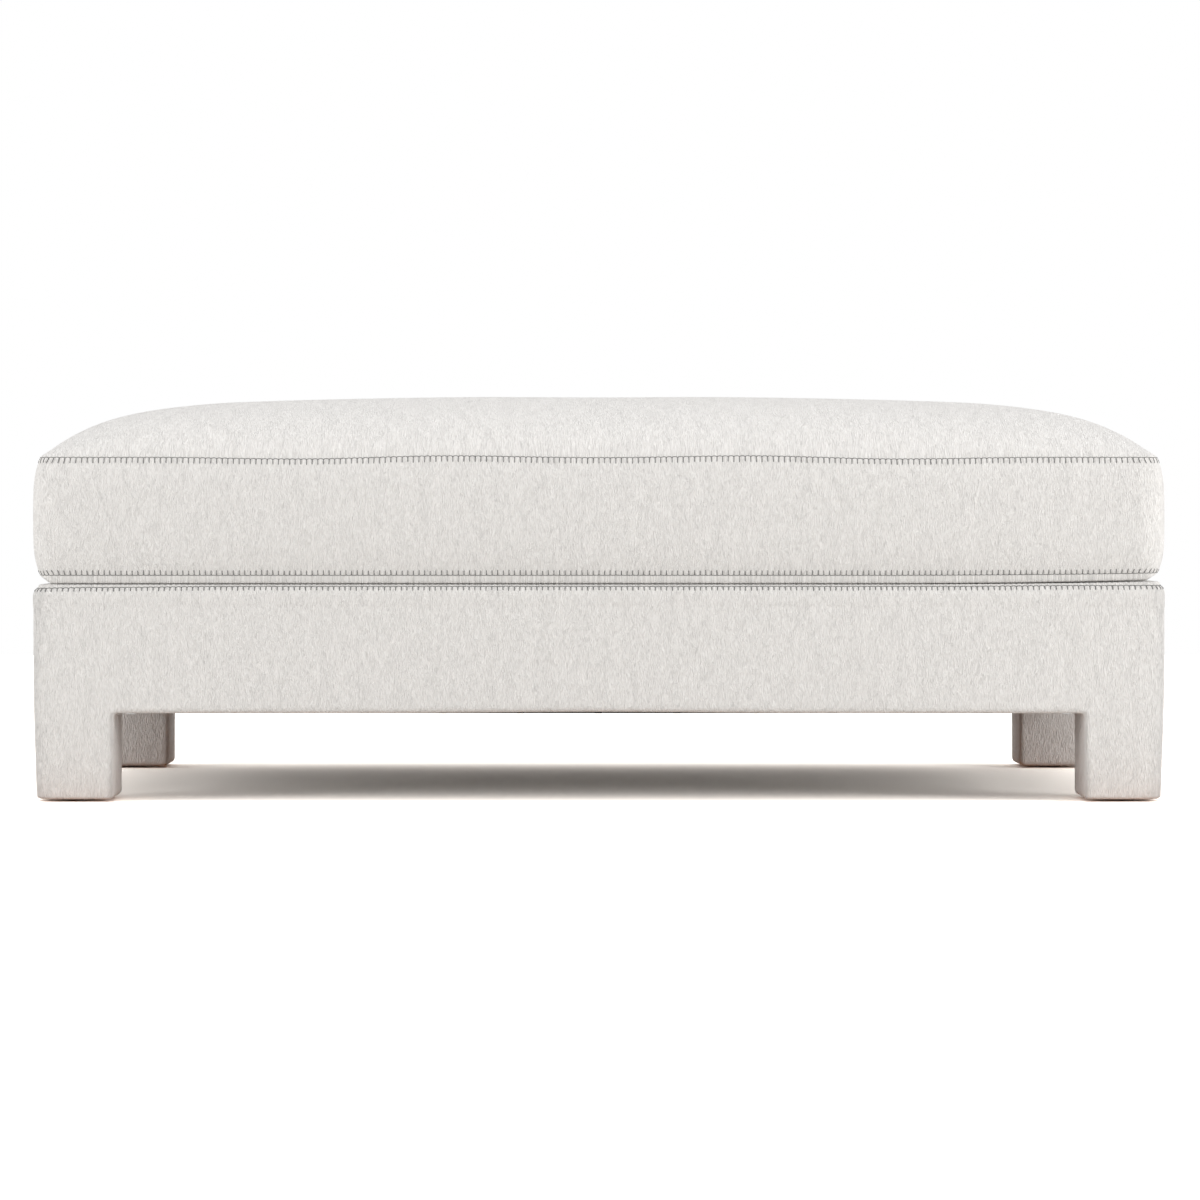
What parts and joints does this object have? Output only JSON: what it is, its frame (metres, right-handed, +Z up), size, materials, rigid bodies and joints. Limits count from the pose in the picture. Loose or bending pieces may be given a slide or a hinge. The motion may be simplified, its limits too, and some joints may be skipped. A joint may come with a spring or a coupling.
{
  "type": "ottoman coffee table",
  "caption": "Upholstered ottoman coffee table: a padded box base on square covered legs with a loose crowned cushion and contrasting blanket-stitched seams.",
  "frame": {"origin": "on the floor under the middle of the base", "axes": "+X along the length to the right as seen from the front, -Y towards the front, +Z up"},
  "size_m": [1.373, 0.7681, 0.5],
  "materials": {
    "cover_fabric": "off-white slubby chenille weave",
    "stitch_thread": "grey cotton blanket stitch",
    "foam": "open-cell foam",
    "fibre_wrap": "fluffy polyester fibre",
    "insulator_felt": "pressed recycled felt",
    "dust_cloth": "thin black non-woven cloth",
    "timber": "planed softwood",
    "spring_steel": "oiled dark wire",
    "zinc_steel": "zinc plated",
    "glide_nylon": "moulded nylon",
    "zipper_tape": "woven off-white tape",
    "zipper_coil": "nylon coil",
    "zipper_metal": "off-white lacquer"
  },
  "bodies": {
    "base": {"clip_nails": "zinc_steel", "corner_blocks": "timber", "cover_front_and_sides": "cover_fabric", "cover_rear": "cover_fabric", "cross_rail_left": "timber", "cross_rail_right": "timber", "deck_cloth": "cover_fabric", "deck_pad": "foam", "dust_cover": "dust_cloth", "dust_cover_staples": "zinc_steel", "frame_screws": "zinc_steel", "glide_front_left": "glide_nylon", "glide_front_right": "glide_nylon", "glide_rear_left": "glide_nylon", "glide_rear_right": "glide_nylon", "glide_screws": "zinc_steel", "insulator": "insulator_felt", "leg_lining_front_left": "cover_fabric", "leg_lining_front_right": "cover_fabric", "leg_lining_rear_left": "cover_fabric", "leg_lining_rear_right": "cover_fabric", "leg_pad_front_left": "foam", "leg_pad_front_right": "foam", "leg_pad_rear_left": "foam", "leg_pad_rear_right": "foam", "leg_post_front_left": "timber", "leg_post_front_right": "timber", "leg_post_rear_left": "timber", "leg_post_rear_right": "timber", "rail_dowels": "timber", "rail_front": "timber", "rail_left": "timber", "rail_pad_front": "foam", "rail_pad_left": "foam", "rail_pad_rear": "foam", "rail_pad_right": "foam", "rail_rear": "timber", "rail_right": "timber", "spring_1": "spring_steel", "spring_2": "spring_steel", "spring_3": "spring_steel", "spring_4": "spring_steel", "spring_5": "spring_steel", "spring_6": "spring_steel", "spring_7": "spring_steel", "spring_clips": "zinc_steel", "stay_wires": "spring_steel", "stitch_base_top": "stitch_thread"},
    "cushion": {"cushion_core": "foam", "cushion_wrap": "fibre_wrap", "cushion_top_panel": "cover_fabric", "cushion_bottom_panel": "cover_fabric", "cushion_boxing": "cover_fabric", "zipper_tapes": "zipper_tape", "zipper_chain": "zipper_coil", "zipper_stops": "zipper_metal", "stitch_cushion_top": "stitch_thread", "stitch_cushion_bottom": "stitch_thread"},
    "zipper_slider_body": {"zipper_slider": "zipper_metal"},
    "zipper_pull_body": {"zipper_pull": "zipper_metal"}
  },
  "joints": [
    {"name": "cushion_lift", "type": "slide", "parent": "base", "child": "cushion", "axis": [0, 0, 1], "range_m": [0, 0.3]},
    {"name": "slider_run", "type": "slide", "parent": "cushion", "child": "zipper_slider_body", "axis": [1, 0, 0], "range_m": [0, 1.1328]},
    {"name": "pull_swing", "type": "hinge", "parent": "zipper_slider_body", "child": "zipper_pull_body", "pos_m": [-0.5664, 0.38418, 0.34375], "axis": [0, 0, 1], "range_deg": [0, 165]}
  ]
}
